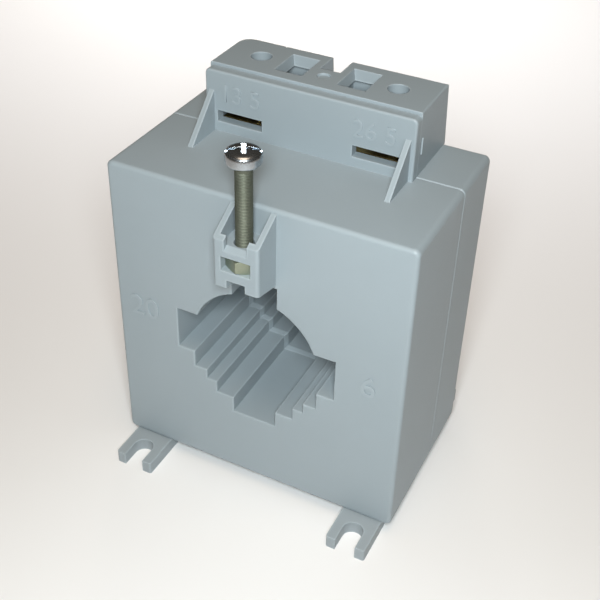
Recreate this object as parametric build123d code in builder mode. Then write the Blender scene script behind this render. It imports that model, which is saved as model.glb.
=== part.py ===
from build123d import *
from math import ceil, hypot, radians, sqrt, tan
import os

os.makedirs("parts", exist_ok=True)

# A window current transformer, standing on its two foot rails, in millimetres.
# The origin lies on the floor under the middle of the case, the front face looks along -Y.

# Case, in two halves that meet at a seam
front_depth = 27.0  # of the front half, from the face to the seam
rear_depth = 18.0  # of the rear half
wall = 2.0
case_corner = 1.5  # radius of the edges that run front to back
case_edge = 1.0  # radius round the front and the rear face
inner_corner = 0.3  # smallest radius of the case's inner corners
seam_bevel = 0.3
lip_length = 2.0  # tongue of the rear cover inside the front half
lip_thickness = 0.9
fit_gap = 0.1  # between pieces that are pushed together

# Busbar window: five centred slots below, a round opening above
wide_slot = 41.4
thin_slot = 11.4
long_slot = 32.6
short_slot = 20.6
square_slot = 26.0
cable_opening = 32.4
window_edge = 0.3  # radius round the window's front rim
tunnel_wall = 1.5
tunnel_step = 0.6  # the rear half's tunnel is this much tighter all round
tunnel_lead = 1.2  # run of the bevel that leads a bar in at that step

# Clamp bracket above the window
bracket_width = 11.0
bracket_projection = 8.0
bracket_gap = 0.9  # between the window's upper edge and the bracket
bracket_slope = 1.9  # its underside rises by this much to the front
bracket_edge = 0.8
notch_rise = 3.9  # height of the notch in its underside
pocket_rise = 6.2  # of the nut pocket's floor over the bracket's underside
pocket_play = 0.4
pocket_roof = 2.4
cheek = 1.3
front_lip = 1.7  # height of the front wall over the floor between the cheeks
scoop_width = 5.5  # the front wall is cut away this wide, down to the floor
scoop_drop = 1.0  # and slopes down by this much to the front

# Clamp screw and nut, M4
clamp_thread = 4.0
clamp_length = 25.0
clamp_offset = 4.0  # of the screw's axis in front of the face
clamp_tip = 0.1  # over the nut's underside, with the screw drawn back
thread_play = 0.1  # on the diameter
clearance_hole = 4.5
pan_head = 7.8
pan_height = 3.4
pan_edge = 2.2  # height of the head's rim, under its rounded top edge
pan_under = 0.9  # radius round the head's underside
recess_width = 1.0
recess_span = 4.6
recess_depth = 1.7
slot_width = 1.2
slot_depth = 1.0
tip_bevel = 0.4
nut_flats = 7.0
nut_height = 3.2
nut_side_play = 0.1
nut_bevel_angle = 30.0
nut_turn = 30.0  # sets a corner to the front

# Terminal block: a plate on the front half, a hollow body on the rear cover
plate_drop = 0.7  # of the plate's top edge below the block's
plate_thickness = 2.6
plate_corner = 1.2
plate_edge = 0.5
chamber_width = 20.5  # of each terminal's chamber
driver_room = 4.3  # between a terminal screw's head and the roof
block_lean = 2.0  # its rear wall leans in by this much at the top
block_top_wall = 2.6
block_side_wall = 1.8
block_rear_wall = 1.8
block_left_corner = 3.2
block_right_corner = 1.0
block_edge = 0.4
gusset_inset = 1.7  # of each gusset's middle from the plate's end
gusset_thickness = 1.3
gusset_height = 10.2
gusset_run = 10.2
notch_width = 5.0
notch_run = 7.0  # at the block's top
notch_wall = 1.2
centre_pocket_wall = 2.0
gate_recess = 3.2
gate_recess_depth = 0.5
gate_recess_inset = 5.6  # of its middle behind the seam
side_rib_width = 0.6
side_rib_height = 4.0
side_rib_rise = 5.2
side_rib_inset = 1.4

# Wire entries and terminals
terminal_inset = 7.1  # of each terminal's axis from its chamber's outer wall
wire_slot_width = 11.6
wire_slot_height = 2.8
driver_hole = 5.0
cover_hole_inset = 4.1  # of each cover hole's middle from its chamber's inner wall
cover_hole_width = 7.0
cover_hole_length = 9.6
cover_hole_draft = 0.6  # each wall of the hole comes in by this much at the bottom
bar_side_gap = 1.2
bar_thickness = 2.5
bar_front_gap = 0.4
bar_rear_gap = 0.5
screw_thread = 4.0
screw_length = 8.0
cheese_head = 7.0
cheese_height = 2.6
screw_slot_width = 1.2
screw_slot_depth = 1.2
washer_size = 8.0
washer_thickness = 1.0
washer_play = 0.3
tip_hole = 5.0

# Foot rails
foot_inset = 2.3  # of each rail's outer edge from the case's side
foot_width = 10.2
foot_thickness = 3.5
foot_projection = 9.8
foot_slot = 5.2
foot_slot_depth = 4.5  # from the tip to the middle of the slot's round end
foot_corner = 0.6
peg_diameter = 4.0
peg_height = 2.0
peg_bevel = 0.4
peg_inset = 9.0  # of each peg behind the face it is nearest to

# Wound ring
core_build = 4.6  # from the core's inner to its outer radius
core_width = 22.0
core_gap = 0.1
cap_wall = 1.0
cap_split = 0.2
winding_gap = 0.05
winding_build = 1.4
winding_arc = 350.0
tape_thickness = 0.5
tape_width = 25.0
ring_tunnel_gap = 0.7  # least gap between the winding and the window's tunnel
ring_step = 0.05  # the winding's inner radius is a whole number of these
ring_side_gap = 1.2  # between the tape and the case's side walls
ring_floor_gap = 3.6
ring_roof_gap = 4.8  # room for the leads over the ring
ring_rib = 2.0
ring_rib_count = 4
ring_rib_length = 8.0
ring_rib_angle = 45.0

# Leads from the winding to the terminals
lead_spread = 8.0
lead_inset = 6.0  # behind the seam
lead_start = 2.5
lead_diameter = 1.2
lead_bend = 3.0
lead_play = 0.1
sleeve_bore = 1.3
sleeve_diameter = 2.2
sleeve_bare = 0.8  # bare wire at the winding's end of the lead
lead_hole = 2.6

# The ring's radii, worked out from the window, and the case round the ring
window_slots = (
    (wide_slot, thin_slot),
    (long_slot, short_slot),
    (square_slot, square_slot),
    (short_slot, long_slot),
    (thin_slot, wide_slot),
)
tunnel_reach = max(hypot(across / 2 + tunnel_wall, high / 2 + tunnel_wall) for across, high in window_slots)
winding_inner = ceil((tunnel_reach + ring_tunnel_gap) / ring_step) * ring_step
cap_inner = winding_inner + winding_build + winding_gap
core_inner = cap_inner + cap_wall + core_gap
core_outer = core_inner + core_build
cap_outer = core_outer + core_gap + cap_wall
winding_outer = cap_outer + winding_gap + winding_build
tape_inner = winding_outer + winding_gap
tape_outer = tape_inner + tape_thickness
cap_half = core_width / 2 + core_gap + cap_wall
winding_half = cap_half + winding_gap + winding_build
ring_rib_radius = (winding_inner + winding_outer) / 2
case_width = 2 * (tape_outer + ring_side_gap + wall)
case_depth = front_depth + rear_depth
window_rise = wall + ring_floor_gap + tape_outer
case_height = window_rise + tape_outer + ring_roof_gap + wall

# Places on the case
case_bottom = foot_thickness
case_top = case_bottom + case_height
case_middle = case_bottom + case_height / 2
front_y = -case_depth / 2
rear_y = case_depth / 2
seam_y = front_y + front_depth
window_z = case_bottom + window_rise
foot_spread = case_width / 2 - foot_inset - foot_width / 2
lead_y = seam_y + lead_inset
lead_run_z = window_z + tape_outer + lead_play + sleeve_diameter / 2

# Places in the clamp bracket
bracket_y = front_y - bracket_projection
bracket_z = window_z + wide_slot / 2 + bracket_gap
nut_z = bracket_z + pocket_rise
pocket_height = nut_height + pocket_play
bracket_floor_z = nut_z + pocket_height + pocket_roof
nut_corner = nut_flats / sqrt(3)
clamp_y = front_y - clamp_offset
clamp_head_z = nut_z + clamp_tip + clamp_length

# Places in the terminal block
bar_top = case_top + bar_thickness
washer_z = bar_top + wire_slot_height
screw_head_z = washer_z + washer_thickness
block_roof = screw_head_z + cheese_height + driver_room
block_top = block_roof + block_top_wall
plate_top = block_top - plate_drop
plate_y = seam_y - plate_thickness
chamber_inner = notch_width / 2 + notch_wall
chamber_outer = chamber_inner + chamber_width
block_width = 2 * (chamber_outer + block_side_wall)
block_rear_top = rear_y - block_lean
chamber_rear = block_rear_top - block_rear_wall
notch_y = block_rear_top - notch_run
terminal_y = (seam_y + block_rear_top) / 2
terminal_spread = chamber_outer - terminal_inset
cover_hole_spread = chamber_inner + cover_hole_inset
gusset_spread = block_width / 2 - gusset_inset


# Plane that looks out of the front at depth y, with its origin at height z
def facing(y, z):
    return Plane(origin=(0, y, z), x_dir=(1, 0, 0), z_dir=(0, -1, 0))


# The window's outline, drawn larger all round by margin
def window_outline(margin):
    for across, high in window_slots:
        Rectangle(across + 2 * margin, high / 2 + margin, align=(Align.CENTER, Align.MAX))
    Rectangle(wide_slot + 2 * margin, thin_slot + 2 * margin)
    Rectangle(thin_slot + 2 * margin, wide_slot + 2 * margin)
    Circle(cable_opening / 2 + margin)


# The case's outline, drawn smaller all round by inset
def case_outline(inset):
    corner = max(case_corner - inset, inner_corner)
    RectangleRounded(case_width - 2 * inset, case_height - 2 * inset, corner)


# Ribs that hold the wound ring, seen along its axis
def ring_rib_outline():
    with PolarLocations(ring_rib_radius, ring_rib_count, start_angle=ring_rib_angle):
        Rectangle(ring_rib_length, ring_rib)


def save(builder, name):
    builder.part.label = name
    export_step(builder.part, f"parts/{name}.step")


# Front half of the case
with BuildPart() as front_case:
    with BuildSketch(facing(front_y, case_middle)):
        case_outline(0)
    extrude(amount=-front_depth)
    fillet(front_case.faces().sort_by(Axis.Y)[0].edges(), case_edge)
    with BuildSketch(facing(front_y + wall, case_middle)):
        case_outline(wall)
    extrude(amount=-(front_depth - wall), mode=Mode.SUBTRACT)
    chamfer(front_case.faces().sort_by(Axis.Y)[-1].outer_wire().edges(), seam_bevel)
    with BuildSketch(facing(seam_y, case_middle)):
        case_outline(wall - lip_thickness - fit_gap)
    extrude(amount=lip_length + fit_gap, mode=Mode.SUBTRACT)

    # Tunnel of the window
    with BuildSketch(facing(seam_y, window_z)):
        window_outline(tunnel_wall)
    extrude(amount=front_depth - wall)
    with BuildSketch(facing(seam_y, window_z)):
        window_outline(0)
    extrude(amount=front_depth, mode=Mode.SUBTRACT)
    fillet(front_case.faces().sort_by(Axis.Y)[0].inner_wires()[0].edges(), window_edge)
    with BuildSketch(facing(-winding_half, window_z)):
        ring_rib_outline()
    extrude(amount=-winding_half - front_y - wall)
    with BuildSketch(Plane.XY.offset(case_bottom)):
        with Locations((-foot_spread, front_y + peg_inset), (foot_spread, front_y + peg_inset)):
            Circle(peg_diameter / 2 + fit_gap)
    extrude(amount=wall, mode=Mode.SUBTRACT)

    # Clamp bracket: a wedge-shaped box with a nut pocket, open above between two cheeks
    with BuildSketch(Plane.YZ):
        with BuildLine():
            Polyline(
                (front_y, case_top - case_edge),
                (bracket_y, bracket_floor_z + front_lip),
                (bracket_y, bracket_z + bracket_slope),
                (front_y, bracket_z),
                close=True,
            )
        make_face()
    extrude(amount=bracket_width / 2, both=True)
    bracket_uprights = front_case.edges().filter_by(Axis.Z).group_by(Axis.Y)[0]
    fillet(bracket_uprights, bracket_edge)
    with BuildSketch(Plane.XY.offset(bracket_floor_z)):
        with Locations((0, (bracket_y + cheek + front_y) / 2)):
            Rectangle(bracket_width - 2 * cheek, bracket_projection - cheek)
    extrude(amount=bracket_projection, mode=Mode.SUBTRACT)
    with BuildSketch(facing(bracket_y, nut_z)):
        Rectangle(nut_flats + 2 * nut_side_play, pocket_height, align=(Align.CENTER, Align.MIN))
    extrude(amount=-(bracket_projection - clamp_offset + nut_corner + fit_gap), mode=Mode.SUBTRACT)
    with BuildSketch(Plane.XY.offset(bracket_z)):
        with Locations((0, clamp_y)):
            Circle(clearance_hole / 2)
    extrude(amount=bracket_floor_z - bracket_z, mode=Mode.SUBTRACT)
    with BuildSketch(Plane.XY.offset(bracket_z)):
        with Locations((0, (bracket_y + clamp_y) / 2)):
            Rectangle(clearance_hole, bracket_projection - clamp_offset)
    extrude(amount=notch_rise, mode=Mode.SUBTRACT)
    with BuildSketch(Plane.YZ):
        with BuildLine():
            Polyline(
                (bracket_y, bracket_floor_z + front_lip),
                (bracket_y, bracket_floor_z - scoop_drop),
                (bracket_y + cheek, bracket_floor_z),
                (bracket_y + cheek, bracket_floor_z + front_lip + cheek),
                close=True,
            )
        make_face()
    extrude(amount=scoop_width / 2, both=True, mode=Mode.SUBTRACT)

    # Front plate of the terminal block, with its wire slots and gussets
    with BuildSketch(facing(seam_y, case_top)) as plate_face:
        Rectangle(block_width, plate_top - case_top, align=(Align.CENTER, Align.MIN))
        fillet(plate_face.vertices().group_by(Axis.Y)[-1], plate_corner)
    extrude(amount=plate_thickness)
    plate_front = front_case.faces().filter_by(Axis.Y).filter_by_position(
        Axis.Z, case_top, block_top
    ).sort_by(Axis.Y)[0]
    fillet(plate_front.edges().sort_by(Axis.Z)[1:], plate_edge)
    with BuildSketch(facing(seam_y, bar_top)):
        with Locations((-terminal_spread, 0), (terminal_spread, 0)):
            Rectangle(wire_slot_width, wire_slot_height, align=(Align.CENTER, Align.MIN))
    extrude(amount=plate_thickness, mode=Mode.SUBTRACT)
    for side in (-1, 1):
        with BuildSketch(Plane.YZ.offset(side * gusset_spread)):
            with BuildLine():
                Polyline(
                    (plate_y, case_top + gusset_height),
                    (plate_y, case_top),
                    (plate_y - gusset_run, case_top),
                    close=True,
                )
            make_face()
        extrude(amount=gusset_thickness / 2, both=True)

# Rear cover
with BuildPart() as rear_cover:
    with BuildSketch(facing(seam_y, case_middle)):
        case_outline(0)
    extrude(amount=-rear_depth)
    fillet(rear_cover.faces().sort_by(Axis.Y)[-1].edges(), case_edge)
    with BuildSketch(facing(seam_y, case_middle)):
        case_outline(wall)
    extrude(amount=-(rear_depth - wall), mode=Mode.SUBTRACT)
    chamfer(rear_cover.faces().sort_by(Axis.Y)[0].outer_wire().edges(), seam_bevel)
    with BuildSketch(facing(seam_y, case_middle)):
        case_outline(wall - lip_thickness)
        with BuildSketch(mode=Mode.PRIVATE) as lip_hollow:
            case_outline(wall)
        add(lip_hollow.sketch, mode=Mode.SUBTRACT)
    extrude(amount=lip_length)

    # Tunnel of the window, one step tighter than the front half's
    with BuildSketch(facing(seam_y, window_z)):
        window_outline(tunnel_wall - tunnel_step)
    extrude(amount=-(rear_depth - wall))
    with BuildSketch(facing(seam_y, window_z)):
        window_outline(-tunnel_step)
    extrude(amount=-rear_depth, mode=Mode.SUBTRACT)
    with BuildSketch(facing(seam_y, window_z)):
        window_outline(0)
    with BuildSketch(facing(seam_y + tunnel_lead, window_z)):
        window_outline(-tunnel_step)
    loft(mode=Mode.SUBTRACT)
    with BuildSketch(facing(rear_y - wall, window_z)):
        ring_rib_outline()
    extrude(amount=rear_y - wall - winding_half)
    with BuildSketch(Plane.XY.offset(case_bottom)):
        with Locations((-foot_spread, rear_y - peg_inset), (foot_spread, rear_y - peg_inset)):
            Circle(peg_diameter / 2 + fit_gap)
    extrude(amount=wall, mode=Mode.SUBTRACT)

    # Body of the terminal block, its rear wall leaning in
    for height, block_rear in ((case_top, rear_y), (block_top, block_rear_top)):
        with BuildSketch(Plane.XY.offset(height)) as block_plan:
            with Locations((0, seam_y)):
                Rectangle(block_width, block_rear - seam_y, align=(Align.CENTER, Align.MIN))
            rear_corners = block_plan.vertices().group_by(Axis.Y)[-1].sort_by(Axis.X)
            fillet(rear_corners[0], block_left_corner)
            fillet(rear_corners[-1], block_right_corner)
    loft(ruled=True)
    fillet(rear_cover.faces().sort_by(Axis.Z)[-1].edges().sort_by(Axis.Y)[1:], block_edge)

    # Chambers of the two terminals, a pocket between them and the notch behind it
    chamber_spread = (chamber_outer + chamber_inner) / 2
    with BuildSketch(facing(seam_y, case_top)):
        with Locations((-chamber_spread, 0), (chamber_spread, 0)):
            Rectangle(chamber_width, block_roof - case_top, align=(Align.CENTER, Align.MIN))
    extrude(amount=-(chamber_rear - seam_y), mode=Mode.SUBTRACT)
    with BuildSketch(facing(seam_y, case_top)):
        Rectangle(notch_width, block_roof - case_top, align=(Align.CENTER, Align.MIN))
    extrude(amount=-(notch_y - centre_pocket_wall - seam_y), mode=Mode.SUBTRACT)
    with BuildSketch(Plane.XY.offset(case_top)):
        with Locations((0, notch_y)):
            Rectangle(notch_width, rear_y - notch_y, align=(Align.CENTER, Align.MIN))
    extrude(amount=block_top - case_top, mode=Mode.SUBTRACT)

    # Holes in the roof and in the floor of the block
    with BuildSketch(Plane.XY.offset(block_roof)):
        with Locations((-terminal_spread, terminal_y), (terminal_spread, terminal_y)):
            Circle(driver_hole / 2)
    extrude(amount=block_top_wall, mode=Mode.SUBTRACT)
    for side in (-1, 1):
        for height, draft in ((block_top, 0), (block_roof, cover_hole_draft)):
            with BuildSketch(Plane.XY.offset(height)):
                with Locations((side * cover_hole_spread, terminal_y)):
                    Rectangle(cover_hole_width - 2 * draft, cover_hole_length - 2 * draft)
        loft(mode=Mode.SUBTRACT)
    with BuildSketch(Plane.XY.offset(block_top)):
        with Locations((0, seam_y + gate_recess_inset)):
            Circle(gate_recess / 2)
    extrude(amount=-gate_recess_depth, mode=Mode.SUBTRACT)
    with BuildSketch(Plane.XY.offset(case_top)):
        with Locations((-terminal_spread, terminal_y), (terminal_spread, terminal_y)):
            Circle(tip_hole / 2)
        with Locations((-lead_spread, lead_y), (lead_spread, lead_y)):
            Circle(lead_hole / 2)
    extrude(amount=-wall, mode=Mode.SUBTRACT)

    # Short rib on each side of the block, close behind the plate
    with BuildSketch(Plane.XY.offset(case_top + side_rib_rise)):
        rib_y = seam_y + side_rib_inset
        with Locations((-block_width / 2, rib_y), (block_width / 2, rib_y)):
            Circle(side_rib_width / 2)
    extrude(amount=side_rib_height)

# Foot rails, each with a U slot at both ends and two pegs into the case
for side, hand in ((-1, "left"), (1, "right")):
    with BuildPart() as mounting_foot:
        with BuildSketch(Plane.XY):
            with Locations((side * foot_spread, 0)):
                RectangleRounded(foot_width, case_depth + 2 * foot_projection, foot_corner)
            slot_reach = rear_y + foot_projection - foot_slot_depth
            for end in (-1, 1):
                with Locations((side * foot_spread, end * slot_reach)):
                    Circle(foot_slot / 2, mode=Mode.SUBTRACT)
                with Locations((side * foot_spread, end * (slot_reach + foot_slot_depth / 2))):
                    Rectangle(foot_slot, foot_slot_depth, mode=Mode.SUBTRACT)
        extrude(amount=foot_thickness)
        with BuildSketch(Plane.XY.offset(foot_thickness)):
            with Locations(
                (side * foot_spread, front_y + peg_inset),
                (side * foot_spread, rear_y - peg_inset),
            ):
                Circle(peg_diameter / 2)
        extrude(amount=peg_height)
        chamfer(mounting_foot.faces().group_by(Axis.Z)[-1].edges(), peg_bevel)
    save(mounting_foot, f"mounting_foot_{hand}")

# Clamp screw with a pan head, a cross and a slot
with BuildPart() as clamp_screw:
    with BuildSketch(Plane.XY.offset(clamp_head_z - clamp_length)):
        with Locations((0, clamp_y)):
            Circle(clamp_thread / 2)
    extrude(amount=clamp_length)
    with BuildSketch(Plane.XY.offset(clamp_head_z)):
        with Locations((0, clamp_y)):
            Circle(pan_head / 2)
    extrude(amount=pan_height)
    fillet(clamp_screw.faces().sort_by(Axis.Z)[-1].edges(), pan_height - pan_edge)
    head_underside = clamp_screw.faces().filter_by(Axis.Z).sort_by(Axis.Z)[-2]
    fillet(head_underside.outer_wire().edges(), pan_under)
    with BuildSketch(Plane.XY.offset(clamp_head_z + pan_height)):
        with Locations((0, clamp_y)):
            Rectangle(recess_span, recess_width)
            Rectangle(recess_width, recess_span)
    extrude(amount=-recess_depth, mode=Mode.SUBTRACT)
    with BuildSketch(Plane.XY.offset(clamp_head_z + pan_height)):
        with Locations((0, clamp_y)):
            Rectangle(pan_head, slot_width)
    extrude(amount=-slot_depth, mode=Mode.SUBTRACT)
    chamfer(clamp_screw.faces().sort_by(Axis.Z)[0].edges(), tip_bevel)
save(clamp_screw, "clamp_screw")

# Clamp nut, its corners cut back to a cone on both sides
with BuildPart() as clamp_nut:
    with BuildSketch(Plane.XY.offset(nut_z)):
        with Locations((0, clamp_y)):
            RegularPolygon(nut_flats / 2, 6, major_radius=False, rotation=nut_turn)
    extrude(amount=nut_height)
    nut_bevel = (nut_corner - nut_flats / 2) * tan(radians(nut_bevel_angle))
    with BuildSketch(Plane.XZ.offset(-clamp_y)):
        with BuildLine():
            Polyline(
                (0, nut_z),
                (nut_flats / 2, nut_z),
                (nut_corner, nut_z + nut_bevel),
                (nut_corner, nut_z + nut_height - nut_bevel),
                (nut_flats / 2, nut_z + nut_height),
                (0, nut_z + nut_height),
                close=True,
            )
        make_face()
    revolve(axis=Axis((0, clamp_y, 0), (0, 0, 1)), mode=Mode.INTERSECT)
    with BuildSketch(Plane.XY.offset(nut_z)):
        with Locations((0, clamp_y)):
            Circle((clamp_thread + thread_play) / 2)
    extrude(amount=nut_height, mode=Mode.SUBTRACT)
save(clamp_nut, "clamp_nut")

# Strip-wound core
with BuildPart() as toroid_core:
    with BuildSketch(facing(core_width / 2, window_z)):
        Circle(core_outer)
        Circle(core_inner, mode=Mode.SUBTRACT)
    extrude(amount=core_width)
save(toroid_core, "toroid_core")

# Insulating caps over the core, one from the front and one from the rear
for end, place in ((-1, "front"), (1, "rear")):
    with BuildPart() as core_cap:
        with BuildSketch(facing(end * cap_half, window_z)):
            Circle(cap_outer)
            Circle(cap_inner, mode=Mode.SUBTRACT)
        extrude(amount=end * (cap_half - cap_split / 2))
        with BuildSketch(facing(end * (cap_half - cap_wall), window_z)):
            Circle(core_outer + core_gap)
            Circle(core_inner - core_gap, mode=Mode.SUBTRACT)
        extrude(amount=end * (cap_half - cap_wall), mode=Mode.SUBTRACT)
    save(core_cap, f"core_cap_{place}")

# Secondary winding, laid round the capped core for most of the turn
with BuildPart() as secondary_winding:
    with BuildSketch(Plane.XY.offset(window_z)):
        with Locations(((winding_inner + winding_outer) / 2, 0)):
            Rectangle(winding_outer - winding_inner, 2 * winding_half)
        with Locations(((cap_inner + cap_outer) / 2, 0)):
            Rectangle(
                cap_outer - cap_inner + 2 * winding_gap,
                2 * (cap_half + winding_gap),
                mode=Mode.SUBTRACT,
            )
    revolve(axis=Axis((0, 0, window_z), (0, 1, 0)), revolution_arc=winding_arc)
save(secondary_winding, "secondary_winding")

# Tape round the outside of the winding
with BuildPart() as winding_tape:
    with BuildSketch(facing(tape_width / 2, window_z)):
        Circle(tape_outer)
        Circle(tape_inner, mode=Mode.SUBTRACT)
    extrude(amount=tape_width)
save(winding_tape, "winding_tape")

# Terminals, one on each side: bar, screw, washer, lead and the lead's sleeve
for side, number in ((-1, 1), (1, 2)):
    bar_y = seam_y + bar_front_gap
    bar_depth = chamber_rear - bar_rear_gap - bar_y
    with BuildPart() as terminal_bar:
        with BuildSketch(Plane.XY.offset(case_top)):
            with Locations((side * chamber_spread, bar_y)):
                Rectangle(chamber_width - 2 * bar_side_gap, bar_depth, align=(Align.CENTER, Align.MIN))
            with Locations((side * terminal_spread, terminal_y)):
                Circle((screw_thread + thread_play) / 2, mode=Mode.SUBTRACT)
            with Locations((side * lead_spread, lead_y)):
                Circle((lead_diameter + lead_play) / 2, mode=Mode.SUBTRACT)
        extrude(amount=bar_thickness)
    save(terminal_bar, f"terminal_bar_{number}")

    with BuildPart() as terminal_screw:
        with BuildSketch(Plane.XY.offset(screw_head_z)):
            with Locations((side * terminal_spread, terminal_y)):
                Circle(screw_thread / 2)
        extrude(amount=-screw_length)
        with BuildSketch(Plane.XY.offset(screw_head_z)):
            with Locations((side * terminal_spread, terminal_y)):
                Circle(cheese_head / 2)
        extrude(amount=cheese_height)
        with BuildSketch(Plane.XY.offset(screw_head_z + cheese_height)):
            with Locations((side * terminal_spread, terminal_y)):
                Rectangle(screw_slot_width, cheese_head)
        extrude(amount=-screw_slot_depth, mode=Mode.SUBTRACT)
    save(terminal_screw, f"terminal_screw_{number}")

    with BuildPart() as terminal_washer:
        with BuildSketch(Plane.XY.offset(washer_z)):
            with Locations((side * terminal_spread, terminal_y)):
                RectangleRounded(washer_size, washer_size, washer_thickness / 2)
                Circle((screw_thread + washer_play) / 2, mode=Mode.SUBTRACT)
        extrude(amount=washer_thickness)
    save(terminal_washer, f"terminal_washer_{number}")

    bend_point = (side * lead_spread, lead_y, lead_run_z)
    with BuildPart() as lead_wire:
        with BuildLine():
            FilletPolyline(
                (side * lead_start, lead_y, lead_run_z),
                bend_point,
                (side * lead_spread, lead_y, bar_top),
                radius=lead_bend,
            )
        with BuildSketch(Plane(origin=(side * lead_start, lead_y, lead_run_z), z_dir=(side, 0, 0))):
            Circle(lead_diameter / 2)
        sweep()
    save(lead_wire, f"lead_wire_{number}")

    sleeve_start = side * (lead_start + sleeve_bare)
    with BuildPart() as lead_sleeve:
        with BuildLine():
            FilletPolyline(
                (sleeve_start, lead_y, lead_run_z),
                bend_point,
                (side * lead_spread, lead_y, case_top - fit_gap),
                radius=lead_bend,
            )
        with BuildSketch(Plane(origin=(sleeve_start, lead_y, lead_run_z), z_dir=(side, 0, 0))):
            Circle(sleeve_diameter / 2)
            Circle(sleeve_bore / 2, mode=Mode.SUBTRACT)
        sweep()
    save(lead_sleeve, f"lead_sleeve_{number}")

save(front_case, "front_case")
save(rear_cover, "rear_cover")
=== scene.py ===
import bmesh
import bpy
from math import cos, pi, radians, sin
from mathutils import Matrix, Vector


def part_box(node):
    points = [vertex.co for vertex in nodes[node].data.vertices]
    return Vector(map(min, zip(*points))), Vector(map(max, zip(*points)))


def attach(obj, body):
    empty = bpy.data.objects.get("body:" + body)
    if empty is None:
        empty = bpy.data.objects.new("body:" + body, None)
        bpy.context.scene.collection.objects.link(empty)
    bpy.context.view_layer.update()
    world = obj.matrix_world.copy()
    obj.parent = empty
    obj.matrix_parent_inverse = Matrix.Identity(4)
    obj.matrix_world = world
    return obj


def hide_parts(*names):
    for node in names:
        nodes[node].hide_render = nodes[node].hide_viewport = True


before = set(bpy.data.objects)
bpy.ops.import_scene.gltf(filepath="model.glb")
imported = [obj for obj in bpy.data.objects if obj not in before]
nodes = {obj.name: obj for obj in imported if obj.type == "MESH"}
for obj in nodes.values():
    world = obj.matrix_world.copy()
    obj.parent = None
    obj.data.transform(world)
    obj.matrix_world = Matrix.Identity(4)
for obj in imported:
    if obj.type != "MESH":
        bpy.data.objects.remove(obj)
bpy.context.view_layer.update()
mm = 0.001
print("frame loaded:", len(nodes), "nodes")


# sRGB hex to the linear values the shaders want
def linear(hexColour, alpha=1.0):
    parts = [int(hexColour[i:i + 2], 16) / 255 for i in (1, 3, 5)]
    return tuple(c / 12.92 if c <= 0.04045 else ((c + 0.055) / 1.055) ** 2.4 for c in parts) + (alpha,)


# Adds one node to a tree: settings are its properties, inputs are values or the sockets linked to them
def addNode(tree, kind, settings=None, inputs=None):
    node = tree.nodes.new(kind)
    for key, value in (settings or {}).items():
        setattr(node, key, value)
    for key, value in (inputs or {}).items():
        if isinstance(value, bpy.types.NodeSocket):
            tree.links.new(value, node.inputs[key])
        else:
            node.inputs[key].default_value = value
    return node


firstColour, secondColour, mixedColour = 6, 7, 2  # the Mix node's own numbers for its colour sockets
noiseLow, noiseHigh = 0.3, 0.7  # nearly all of a noise texture lies between these


def newMaterial(name):
    material = bpy.data.materials.new(name)
    material.use_nodes = True
    material.node_tree.nodes.clear()
    return material, material.node_tree


def finishMaterial(tree, shader):
    addNode(tree, "ShaderNodeOutputMaterial", inputs={"Surface": shader.outputs["BSDF"]})


# Object coordinates in millimetres, so a texture's scale is one over its size in millimetres
def millimetres(tree):
    place = addNode(tree, "ShaderNodeTexCoord")
    return addNode(tree, "ShaderNodeVectorMath", {"operation": "SCALE"},
                   {0: place.outputs["Object"], "Scale": 1 / mm}).outputs[0]


# Moulded ABS from a spark-eroded mould: satin, with an even fine grain and faint flow clouds,
# and convex corners painted paler: a painted highlight where the edges catch the light, with a little
# rubbing
def mouldedAbs(name, look):
    material, tree = newMaterial(name)
    place = millimetres(tree)
    clouds = addNode(tree, "ShaderNodeTexNoise", inputs={
        "Vector": place, "Scale": 1 / look["cloudSize"], "Detail": 3.0, "Roughness": 0.6})
    specks = addNode(tree, "ShaderNodeTexNoise", inputs={
        "Vector": place, "Scale": 1 / look["grainSize"], "Detail": 2.0, "Roughness": 0.5})
    body = addNode(tree, "ShaderNodeMix", {"data_type": "RGBA"}, {
        "Factor": clouds.outputs["Fac"], firstColour: linear(look["colour"]),
        secondColour: linear(look["cloudColour"])})
    # Convex corners are painted paler: a painted edge highlight, with a little rubbing
    inside = addNode(tree, "ShaderNodeAmbientOcclusion", {"inside": True, "only_local": True, "samples": 8},
                     {"Distance": look["edgeWidth"] * mm})
    edge = addNode(tree, "ShaderNodeMapRange", inputs={
        "Value": inside.outputs["AO"], "From Min": look["flatFace"], "From Max": look["sharpCorner"],
        "To Min": 0.0, "To Max": look["edgeHighlightAndWear"]})
    highlitAndWornEdges = addNode(tree, "ShaderNodeMix", {"data_type": "RGBA"}, {
        "Factor": edge.outputs["Result"], firstColour: body.outputs[mixedColour],
        secondColour: linear(look["edgeHighlightAndWearColour"])})
    rough = addNode(tree, "ShaderNodeMapRange", inputs={
        "Value": specks.outputs["Fac"], "From Min": noiseLow, "From Max": noiseHigh,
        "To Min": look["roughness"] - look["roughnessSpread"],
        "To Max": look["roughness"] + look["roughnessSpread"]})
    softEdge = addNode(tree, "ShaderNodeBevel", {"samples": 6}, {"Radius": look["edgeRadius"] * mm})
    bump = addNode(tree, "ShaderNodeBump", inputs={
        "Strength": look["grainStrength"], "Distance": look["grainDepth"] * mm,
        "Height": specks.outputs["Fac"], "Normal": softEdge.outputs["Normal"]})
    shader = addNode(tree, "ShaderNodeBsdfPrincipled", inputs={
        "Base Color": highlitAndWornEdges.outputs[mixedColour], "Roughness": rough.outputs["Result"],
        "IOR": look["ior"], "Normal": bump.outputs["Normal"]})
    finishMaterial(tree, shader)
    return material


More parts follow.
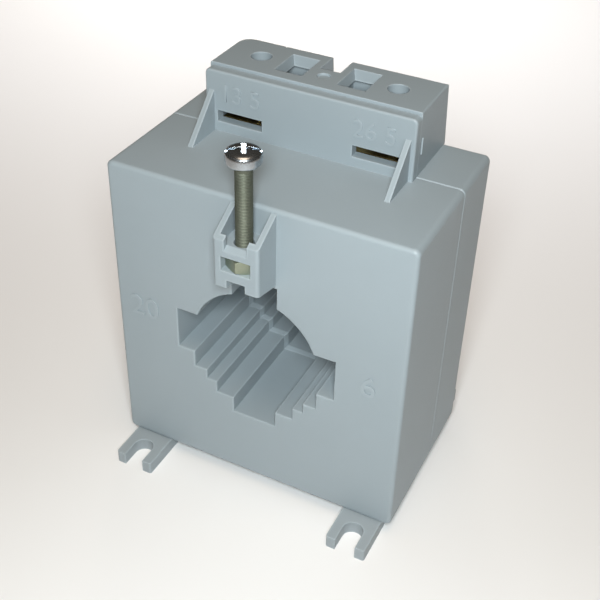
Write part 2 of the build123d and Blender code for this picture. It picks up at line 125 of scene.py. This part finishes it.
# Plated, drawn or rolled metal: mirrors its surroundings, broken up by fine scratches and a little tarnish
def metal(name, look):
    material, tree = newMaterial(name)
    place = millimetres(tree)
    stretched = addNode(tree, "ShaderNodeMapping", inputs={"Vector": place, "Scale": look["scratchStretch"]})
    scratches = addNode(tree, "ShaderNodeTexNoise", inputs={
        "Vector": stretched.outputs["Vector"], "Scale": 1 / look["scratchSize"],
        "Detail": 4.0, "Roughness": 0.65})
    tarnish = addNode(tree, "ShaderNodeTexNoise", inputs={
        "Vector": place, "Scale": 1 / look["tarnishSize"], "Detail": 3.0, "Roughness": 0.55})
    mask = addNode(tree, "ShaderNodeMapRange", inputs={
        "Value": tarnish.outputs["Fac"], "From Min": look["tarnishFrom"], "From Max": noiseHigh,
        "To Min": 0.0, "To Max": look["tarnish"]})
    colour = addNode(tree, "ShaderNodeMix", {"data_type": "RGBA"}, {
        "Factor": mask.outputs["Result"], firstColour: linear(look["colour"]),
        secondColour: linear(look["tarnishColour"])})
    rough = addNode(tree, "ShaderNodeMapRange", inputs={
        "Value": scratches.outputs["Fac"], "From Min": noiseLow, "From Max": noiseHigh,
        "To Min": look["roughness"] - look["polished"], "To Max": look["roughness"] + look["dulled"]})
    softEdge = addNode(tree, "ShaderNodeBevel", {"samples": 4}, {"Radius": look["edgeRadius"] * mm})
    bump = addNode(tree, "ShaderNodeBump", inputs={
        "Strength": look["scratchStrength"], "Distance": look["scratchDepth"] * mm,
        "Height": scratches.outputs["Fac"], "Normal": softEdge.outputs["Normal"]})
    shader = addNode(tree, "ShaderNodeBsdfPrincipled", inputs={
        "Base Color": colour.outputs[mixedColour], "Metallic": look["metallic"],
        "Roughness": rough.outputs["Result"], "Normal": bump.outputs["Normal"]})
    finishMaterial(tree, shader)
    return material


# Enamelled copper wire wound through the ring: painted shade in the gaps between glossy turns round the
# window's axis
def enamelledCopper(name, look):
    material, tree = newMaterial(name)
    place = millimetres(tree)
    centred = addNode(tree, "ShaderNodeVectorMath", {"operation": "SUBTRACT"},
                      {0: place, 1: (0.0, 0.0, look["ringHeight"] / mm)})
    parts = addNode(tree, "ShaderNodeSeparateXYZ", inputs={"Vector": centred.outputs[0]})
    angle = addNode(tree, "ShaderNodeMath", {"operation": "ARCTAN2"},
                    {0: parts.outputs["Z"], 1: parts.outputs["X"]})
    turns = addNode(tree, "ShaderNodeMath", {"operation": "MULTIPLY"},
                    {0: angle.outputs[0], 1: look["turns"]})
    wave = addNode(tree, "ShaderNodeMath", {"operation": "SINE"}, {0: turns.outputs[0]})
    height = addNode(tree, "ShaderNodeMapRange", inputs={
        "Value": wave.outputs[0], "From Min": -1.0, "From Max": 1.0, "To Min": 0.0, "To Max": 1.0})
    # The gaps between the turns are darkened: painted shade
    colour = addNode(tree, "ShaderNodeMix", {"data_type": "RGBA"}, {
        "Factor": height.outputs["Result"], firstColour: linear(look["gapShadeColour"]),
        secondColour: linear(look["colour"])})
    bump = addNode(tree, "ShaderNodeBump", inputs={
        "Strength": look["reliefStrength"], "Distance": look["wire"] / 2 * mm,
        "Height": height.outputs["Result"]})
    shader = addNode(tree, "ShaderNodeBsdfPrincipled", inputs={
        "Base Color": colour.outputs[mixedColour],
        "Metallic": look["metallic"], "Roughness": look["roughness"],
        "Coat Weight": look["enamel"], "Coat Roughness": look["enamelRoughness"],
        "Normal": bump.outputs["Normal"]})
    finishMaterial(tree, shader)
    return material


# Moulded or extruded insulation, such as the caps, the tape and the sleeves: even, slightly mottled
# colour that hardly shines
def insulation(name, look):
    material, tree = newMaterial(name)
    place = millimetres(tree)
    mottle = addNode(tree, "ShaderNodeTexNoise", inputs={
        "Vector": place, "Scale": 1 / look["mottleSize"], "Detail": 3.0})
    colour = addNode(tree, "ShaderNodeMix", {"data_type": "RGBA"}, {
        "Factor": mottle.outputs["Fac"], firstColour: linear(look["colour"]),
        secondColour: linear(look["mottleColour"])})
    bump = addNode(tree, "ShaderNodeBump", inputs={
        "Strength": look["mottleStrength"], "Distance": look["mottleDepth"] * mm,
        "Height": mottle.outputs["Fac"]})
    shader = addNode(tree, "ShaderNodeBsdfPrincipled", inputs={
        "Base Color": colour.outputs[mixedColour], "Roughness": look["roughness"],
        "IOR": look["ior"], "Normal": bump.outputs["Normal"]})
    finishMaterial(tree, shader)
    return material


# Colours are matched to the case and the screw under the studio's lamps; sizes are in millimetres
caseLook = {
    "colour": "#8f9ba1", "cloudColour": "#96a1a7", "cloudSize": 30.0,
    "grainSize": 0.35,  # the real grain is about 0.05 mm, too fine to show
    "grainStrength": 0.25, "grainDepth": 0.03, "roughness": 0.48, "roughnessSpread": 0.04, "ior": 1.54,
    # The edge colour and its strength paint a highlight on the corners, with a little rubbing
    "edgeWidth": 0.5, "edgeHighlightAndWear": 0.5, "edgeHighlightAndWearColour": "#b6c2c8", "edgeRadius": 0.25,
    "flatFace": 0.95, "sharpCorner": 0.45,  # share of the rays into the plastic that stay inside it
}
# Moulded polyamide: the same blue grey, a little duller and greyer
footLook = dict(caseLook, colour="#8f999e", cloudColour="#969fa4", roughness=0.52)
# Low relief keeps narrow corners, so its painted edge highlight, with a little rubbing, is fainter
caseNumberLook = dict(caseLook, edgeHighlightAndWear=0.12, edgeRadius=0.08)
# Bright zinc plate: clear, nearly neutral reflections
screwLook = {
    "colour": "#bac0c6", "edgeRadius": 0.06,
    "tarnishColour": "#a2a49f", "tarnish": 0.5, "tarnishSize": 3.0, "tarnishFrom": 0.4,
    "scratchSize": 0.12,  # real ones are about 0.02 mm wide, too fine to show at this size
    "scratchStretch": (1.0, 1.0, 0.25), "scratchStrength": 0.3, "scratchDepth": 0.01,
    "roughness": 0.24, "polished": 0.06, "dulled": 0.08, "metallic": 1.0,
}
# Thread: the head's zinc made darker and greenish, the darkness a painted shade for the dim surroundings it
# mirrors, and rougher, with one soft line of light
threadLook = dict(screwLook, colour="#6f7366", tarnishColour="#63675a", roughness=0.56, metallic=0.7)
# Yellow passivated zinc on the nut: pale olive, half dull
nutLook = dict(screwLook, colour="#a2a896", tarnishColour="#90967f", roughness=0.42, edgeRadius=0.15)
# Rolled brass: warm, with fine lines along the rolling
brassLook = {
    "colour": "#c9b27a", "edgeRadius": 0.1,
    "tarnishColour": "#94804f", "tarnish": 0.6, "tarnishSize": 2.5, "tarnishFrom": 0.4,
    "scratchSize": 0.1, "scratchStretch": (0.2, 1.0, 1.0), "scratchStrength": 0.4, "scratchDepth": 0.01,
    "roughness": 0.3, "polished": 0.06, "dulled": 0.08, "metallic": 1.0,
}
# Wound silicon steel strip: dull mid grey, with fine lines along the ring's axis
siliconSteelLook = {
    "colour": "#8b8d92", "edgeRadius": 0.1,
    "tarnishColour": "#6a6c72", "tarnish": 0.4, "tarnishSize": 6.0, "tarnishFrom": 0.4,
    "scratchSize": 0.3,  # the strip's own thickness
    "scratchStretch": (1.0, 0.05, 1.0), "scratchStrength": 0.6, "scratchDepth": 0.01,
    "roughness": 0.38, "polished": 0.06, "dulled": 0.08, "metallic": 1.0,
}
# Tinned copper wire: silver with a red cast where the tin is thin
tinLook = dict(screwLook, colour="#c9bfb0", tarnishColour="#b08a68")
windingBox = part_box("secondary_winding")
windingLook = {
    "colour": "#b5623a", "gapShadeColour": "#4a2113", "ringHeight": (windingBox[0].z + windingBox[1].z) / 2,
    "turns": 180.0,  # about 0.8 mm wire round the inner radius
    "wire": 0.8, "reliefStrength": 0.8,
    "metallic": 0.75, "roughness": 0.28, "enamel": 0.6, "enamelRoughness": 0.1,
}
# Natural nylon caps: off-white and half matt
capLook = {
    "colour": "#d8d4c6", "mottleColour": "#cfcabb", "mottleSize": 4.0, "roughness": 0.5, "ior": 1.5,
    "mottleStrength": 0.2, "mottleDepth": 0.02,
}
# Polyester tape: yellow, smoother and shinier than the caps
tapeLook = dict(capLook, colour="#d9c46a", mottleColour="#cdb65a", mottleSize=2.0, roughness=0.3, ior=1.57)
# PVC sleeving: black and a little waxy
sleeveLook = dict(capLook, colour="#232427", mottleColour="#2b2c30", mottleSize=1.0, roughness=0.45)

caseAbs = mouldedAbs("moulded_abs_blue_grey", caseLook)
footNylon = mouldedAbs("moulded_polyamide_blue_grey", footLook)
screwSteel = metal("zinc_plated_steel", screwLook)
# The thread is the head's zinc painted darker: painted shade for the dim surroundings it mirrors
shadedThread = metal("zinc_plated_thread_painted_darker", threadLook)
numberAbs = mouldedAbs("moulded_abs_in_fine_relief", caseNumberLook)
brass = metal("rolled_brass", brassLook)
materialOf = {
    "front_case": caseAbs, "rear_cover": caseAbs,
    "mounting_foot_left": footNylon, "mounting_foot_right": footNylon,
    "clamp_screw": screwSteel, "clamp_nut": metal("yellow_passivated_zinc_on_steel", nutLook),
    "toroid_core": metal("silicon_steel_strip", siliconSteelLook),
    "secondary_winding": enamelledCopper("enamelled_copper_wire", windingLook),
    "winding_tape": insulation("polyester_tape", tapeLook),
}
coreCap = insulation("natural_nylon", capLook)
sleeve = insulation("pvc_sleeving", sleeveLook)
lead = metal("tinned_copper_wire", tinLook)
for name in nodes:
    if name.startswith("core_cap"):
        materialOf[name] = coreCap
    elif name.startswith("lead_sleeve"):
        materialOf[name] = sleeve
    elif name.startswith("lead_wire"):
        materialOf[name] = lead
    elif name.startswith("terminal_bar"):
        materialOf[name] = brass
    elif name.startswith("terminal"):
        materialOf[name] = screwSteel
for name, material in materialOf.items():
    mesh = nodes[name].data
    mesh.materials.clear()
    mesh.materials.append(material)
print("materials set on", len(materialOf), "nodes")


def addObject(name, mesh, material):
    mesh.materials.clear()
    mesh.materials.append(material)
    piece = bpy.data.objects.new(name, mesh)
    bpy.context.scene.collection.objects.link(piece)
    return piece


# Rings of vertices joined by quads and closed by a fan at both ends, all in millimetres
def ringMesh(name, rings, firstPole, lastPole):
    points = [point for ring in rings for point in ring] + [firstPole, lastPole]
    count = len(rings[0])
    faces = []
    for row in range(len(rings) - 1):
        for column in range(count):
            after = (column + 1) % count
            faces.append((row * count + column, row * count + after,
                          (row + 1) * count + after, (row + 1) * count + column))
    last = (len(rings) - 1) * count
    for column in range(count):
        after = (column + 1) % count
        faces.append((after, column, len(points) - 2))
        faces.append((last + column, last + after, len(points) - 1))
    mesh = bpy.data.meshes.new(name)
    mesh.from_pydata([tuple(c * mm for c in point) for point in points], [], faces)
    shape = bmesh.new()
    shape.from_mesh(mesh)
    bmesh.ops.recalc_face_normals(shape, faces=shape.faces)
    shape.to_mesh(mesh)
    shape.free()
    mesh.polygons.foreach_set("use_smooth", [True] * len(mesh.polygons))
    return mesh


# The clamp screw, in millimetres: a single-start thread and a pan head cut by a cross and a slot
screwShape = {
    "threadMajor": 3.88, "threadMinor": 3.1, "pitch": 0.7, "length": 25.0,
    "rootShare": 0.12, "flankShare": 0.72,  # of the pitch; the crest has the rest
    "runOut": 1.1,  # bare neck under the head
    "neck": 0.2,  # how far the shank reaches into the head
    "tipChamfer": 0.7,
    "headSize": 7.8, "headHeight": 3.4, "rimHeight": 1.9, "underRadius": 0.8, "fullness": 2.8,
    "crossSpan": 4.8, "crossWidth": 1.1, "crossDepth": 1.9,
    "crossFloorSpan": 0.55, "crossFloorWidth": 0.7,  # shares of the cross's size at its floor
    "slotWidth": 1.0, "slotDepth": 1.0,
    "driveTurn": 29.0,  # degrees
}
shankSides, rowsPerPitch = 48, 8
headSides, underSteps, domeSteps = 96, 8, 24


def threadedShank(shape):
    outer, inner = shape["threadMajor"] / 2, shape["threadMinor"] / 2
    rows = int(shape["length"] / shape["pitch"] * rowsPerPitch)
    rings = []
    for row in range(rows + 1):
        depth = shape["length"] * row / rows  # down from the head
        fade = min(1.0, max(0.0, (depth - shape["runOut"]) / shape["pitch"]))
        ring = []
        for column in range(shankSides):
            angle = 2 * pi * column / shankSides
            phase = (depth / shape["pitch"] - column / shankSides) % 1.0
            pastRoot = (abs(phase - 0.5) * 2 - shape["rootShare"]) / shape["flankShare"]
            flank = min(1.0, max(0.0, pastRoot))  # 1 on the crest, 0 at the root
            radius = inner + (outer - inner) * (1 - fade * (1 - flank))
            toTip = shape["length"] - depth
            radius = min(radius, outer - max(0.0, shape["tipChamfer"] - toTip))
            ring.append((radius * cos(angle), radius * sin(angle), -depth))
        rings.append(ring)
    top = [(x, y, shape["neck"]) for x, y, z in rings[0]]
    return ringMesh("clamp_screw_shank", [top] + rings, (0, 0, shape["neck"]), (0, 0, -shape["length"]))


def panHead(shape):
    half, under, rim = shape["headSize"] / 2, shape["underRadius"], shape["rimHeight"]
    dome, power = shape["headHeight"] - rim, 2 / shape["fullness"]
    underAngles = [pi / 2 * i / underSteps for i in range(underSteps + 1)]
    domeAngles = [pi / 2 * i / domeSteps for i in range(domeSteps)]
    outline = [(half - under + under * sin(a), under - under * cos(a)) for a in underAngles]
    outline += [(half * cos(a) ** power, rim + dome * sin(a) ** power) for a in domeAngles]
    turns = [2 * pi * k / headSides for k in range(headSides)]
    rings = [[(r * cos(t), r * sin(t), z) for t in turns] for r, z in outline]
    return ringMesh("clamp_screw_head", rings, (0, 0, 0), (0, 0, shape["headHeight"]))


# Corners of a bar or a cross round the screw's axis, turned by an angle
def barOutline(length, width, angle):
    corners = ((-length, -width), (length, -width), (length, width), (-length, width))
    return [Matrix.Rotation(angle, 2) @ Vector(corner) / 2 for corner in corners]


def crossOutline(span, width, angle):
    arm = ((width, -width), (span, -width), (span, width))
    return [Matrix.Rotation(angle + n * pi / 2, 2) @ Vector(corner) / 2 for n in range(4) for corner in arm]


# Solid between two outlines with the same number of corners, to be cut out of the head
def cutter(name, floorOutline, floorHeight, topOutline, topHeight):
    count = len(topOutline)
    points = [(p.x * mm, p.y * mm, floorHeight * mm) for p in floorOutline]
    points += [(p.x * mm, p.y * mm, topHeight * mm) for p in topOutline]
    faces = [tuple(reversed(range(count))), tuple(range(count, 2 * count))]
    faces += [(i, (i + 1) % count, count + (i + 1) % count, count + i) for i in range(count)]
    mesh = bpy.data.meshes.new(name)
    mesh.from_pydata(points, [], faces)
    tool = bpy.data.objects.new(name, mesh)
    bpy.context.scene.collection.objects.link(tool)
    return tool


closeness = 0.002 * mm


# Joins points that lie on one another and drops faces without an area
def tidyMesh(mesh):
    shape = bmesh.new()
    shape.from_mesh(mesh)
    bmesh.ops.remove_doubles(shape, verts=shape.verts, dist=closeness)
    bmesh.ops.dissolve_degenerate(shape, edges=shape.edges, dist=closeness)
    shape.to_mesh(mesh)
    shape.free()


def cutAway(piece, tools):
    for tool in tools:
        cut = piece.modifiers.new(tool.name, "BOOLEAN")
        cut.operation = "DIFFERENCE"
        cut.solver = "EXACT"
        cut.object = tool
    bpy.context.view_layer.update()
    result = bpy.data.meshes.new_from_object(piece.evaluated_get(bpy.context.evaluated_depsgraph_get()))
    piece.modifiers.clear()
    tidyMesh(result)
    piece.data = result
    for tool in tools:
        bpy.data.objects.remove(tool)


# The head's underside sits where the solid's does, on the same axis
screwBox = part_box("clamp_screw")
seat = Vector(((screwBox[0].x + screwBox[1].x) / 2, (screwBox[0].y + screwBox[1].y) / 2,
               screwBox[1].z - screwShape["headHeight"] * mm))
head = addObject("clamp_screw_head", panHead(screwShape), screwSteel)
drive = radians(screwShape["driveTurn"])
span, width, headTop = screwShape["crossSpan"], screwShape["crossWidth"], screwShape["headHeight"]
overHead, overSlot, pastRim = 0.5, 0.6, 1.0  # how far the cutters stand out, so that no faces coincide
crossFloor = crossOutline(span * screwShape["crossFloorSpan"], width * screwShape["crossFloorWidth"], drive)
crossTool = cutter("cross", crossFloor, headTop - screwShape["crossDepth"],
                   crossOutline(span, width, drive), headTop + overHead)
slotOutline = barOutline(screwShape["headSize"] + pastRim, screwShape["slotWidth"], drive)
slotTool = cutter("slot", slotOutline, headTop - screwShape["slotDepth"], slotOutline, headTop + overSlot)
cutAway(head, (crossTool, slotTool))
shank = addObject("clamp_screw_shank", threadedShank(screwShape), shadedThread)
for piece in (head, shank):
    piece.data.transform(Matrix.Translation(seat))
    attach(piece, "clamp_screw")
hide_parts("clamp_screw")
print("clamp screw made:", len(head.data.polygons) + len(shank.data.polygons), "faces")

# Plain numbers moulded in low relief, in millimetres, on the front face and on the block's plate over
# the wire slots
relief = {
    "height": 0.25, "sunk": 0.1, "curveSteps": 6,
    "capHeight": 0.7,  # share of the built-in font's size that its figures are high
    "plateThickness": 2.6,
}
caseFace = -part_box("rear_cover")[1].y / mm  # the front face lies as far out as the rear one
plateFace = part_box("front_case")[1].y / mm - relief["plateThickness"]  # the plate ends at the seam
numbers = (
    {"name": "number_left", "text": "20", "middle": (-29.8, caseFace, 46.0), "size": 5.7},
    {"name": "number_right", "text": "6", "middle": (29.0, caseFace, 45.0), "size": 5.7},
    {"name": "number_terminal_1", "text": "13 5", "middle": (-16.9, plateFace, 94.2), "size": 4.2},
    {"name": "number_terminal_2", "text": "26 5", "middle": (16.4, plateFace, 94.0), "size": 4.2},
)
for number in numbers:
    words = bpy.data.curves.new(number["name"], "FONT")
    words.body = number["text"]
    words.size = number["size"] / relief["capHeight"] * mm
    words.align_x, words.align_y = "CENTER", "CENTER"
    words.extrude = (relief["height"] + relief["sunk"]) / 2 * mm
    words.resolution_u = relief["curveSteps"]
    holder = bpy.data.objects.new(number["name"], words)
    bpy.context.scene.collection.objects.link(holder)
    bpy.context.view_layer.update()
    mesh = bpy.data.meshes.new_from_object(holder.evaluated_get(bpy.context.evaluated_depsgraph_get()))
    bpy.data.objects.remove(holder)
    tidyMesh(mesh)
    x, y, z = number["middle"]
    out = y - (relief["height"] - relief["sunk"]) / 2
    mesh.transform(Matrix.Translation(Vector((x, out, z)) * mm) @ Matrix.Rotation(pi / 2, 4, "X"))
    piece = addObject(number["name"], mesh, numberAbs)
    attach(piece, "case")
print("numbers made:", len(numbers))

# Camera at the photograph's viewing angle, fitted to the case's corners, in metres; the picture's
# numbers are pixels
cameraView = {
    "place": (0.0887, -0.1829, 0.1992),
    "look": (-0.3374, 0.7362, -0.5867),
    "right": (0.898, 0.4387, 0.0341),
    "focalPixels": 1028.1,
    "middlePixels": (316.44, 275.06),  # where the view axis meets the picture
    "picturePixels": 600, "sensorSize": 36.0, "nearest": 0.01,
}
camera = bpy.data.objects.new("camera", bpy.data.cameras.new("camera"))
bpy.context.scene.collection.objects.link(camera)
back = -Vector(cameraView["look"]).normalized()
right = Vector(cameraView["right"])
right = (right - back * right.dot(back)).normalized()
up = back.cross(right)
turn = Matrix((right, up, back)).transposed().to_4x4()
camera.matrix_world = Matrix.Translation(cameraView["place"]) @ turn
pixels, (middleX, middleY) = cameraView["picturePixels"], cameraView["middlePixels"]
camera.data.sensor_width = cameraView["sensorSize"]
camera.data.lens = cameraView["focalPixels"] / pixels * cameraView["sensorSize"]
camera.data.shift_x = (pixels / 2 - middleX) / pixels
camera.data.shift_y = (middleY - pixels / 2) / pixels
camera.data.clip_start = cameraView["nearest"]
bpy.context.scene.camera = camera

# Pale floor, a soft lamp by the camera, a large warm one high overhead, one for the floor behind, a low
# one that lights the rear for views from behind, and a dim room
studio = {
    "floorSize": 6.0, "floorColour": "#eaeaea", "floorRoughness": 0.9,
    "fibreSize": 1.0,  # the real ones are about 0.02 mm wide, too fine to show
    "fibreStrength": 0.05, "fibreDepth": 0.02,
    "roomColour": "#fff3e2", "roomStrength": 0.06,
}
lamps = (
    {"name": "lamp_by_camera", "place": (0.088, -0.19, 0.215), "aim": (0, 0, 0.05), "size": 0.06,
     "power": 0.77, "colour": "#f8feff"},
    {"name": "lamp_overhead", "place": (0.25, -0.5, 3.0), "aim": (0, 0, 0.05), "size": 1.5,
     "power": 25.0, "colour": "#ffe3c8"},
    {"name": "lamp_behind", "place": (-0.10, 0.22, 0.42), "aim": (-0.30, 0.85, 0), "size": 0.3,
     "power": 2.5, "colour": "#f6faff"},
    {"name": "lamp_low_at_the_rear", "place": (-0.25, 0.45, 0.055), "aim": (0, 0, 0.05), "size": 0.1,
     "power": 0.7, "colour": "#fff6ea"},
)


# Uncoated paper: flat and nearly white, with no reflection of the object
def floorMaterial():
    material, tree = newMaterial("matt_white_paper")
    fibres = addNode(tree, "ShaderNodeTexNoise", inputs={
        "Vector": millimetres(tree), "Scale": 1 / studio["fibreSize"]})
    bump = addNode(tree, "ShaderNodeBump", inputs={
        "Strength": studio["fibreStrength"], "Distance": studio["fibreDepth"] * mm,
        "Height": fibres.outputs["Fac"]})
    shader = addNode(tree, "ShaderNodeBsdfPrincipled", inputs={
        "Base Color": linear(studio["floorColour"]), "Roughness": studio["floorRoughness"],
        "Normal": bump.outputs["Normal"]})
    finishMaterial(tree, shader)
    return material


half = studio["floorSize"] / 2
corners = [(-half, -half, 0), (half, -half, 0), (half, half, 0), (-half, half, 0)]
floorMesh = bpy.data.meshes.new("floor")
floorMesh.from_pydata(corners, [], [(0, 1, 2, 3)])
floor = bpy.data.objects.new("floor", floorMesh)
floorMesh.materials.append(floorMaterial())
bpy.context.scene.collection.objects.link(floor)

for lamp in lamps:
    light = bpy.data.lights.new(lamp["name"], "AREA")
    light.size = lamp["size"]
    light.energy = lamp["power"]
    light.color = linear(lamp["colour"])[:3]
    lampObject = bpy.data.objects.new(lamp["name"], light)
    lampObject.location = lamp["place"]
    direction = Vector(lamp["aim"]) - lampObject.location
    lampObject.rotation_euler = direction.to_track_quat("-Z", "Y").to_euler()
    bpy.context.scene.collection.objects.link(lampObject)

world = bpy.data.worlds.new("room")
bpy.context.scene.world = world
world.use_nodes = True
world.node_tree.nodes.clear()
room = addNode(world.node_tree, "ShaderNodeBackground", inputs={
    "Color": linear(studio["roomColour"]), "Strength": studio["roomStrength"]})
addNode(world.node_tree, "ShaderNodeOutputWorld", inputs={"Surface": room.outputs["Background"]})
bpy.context.scene.view_settings.view_transform = "Standard"
print("camera and lights set")
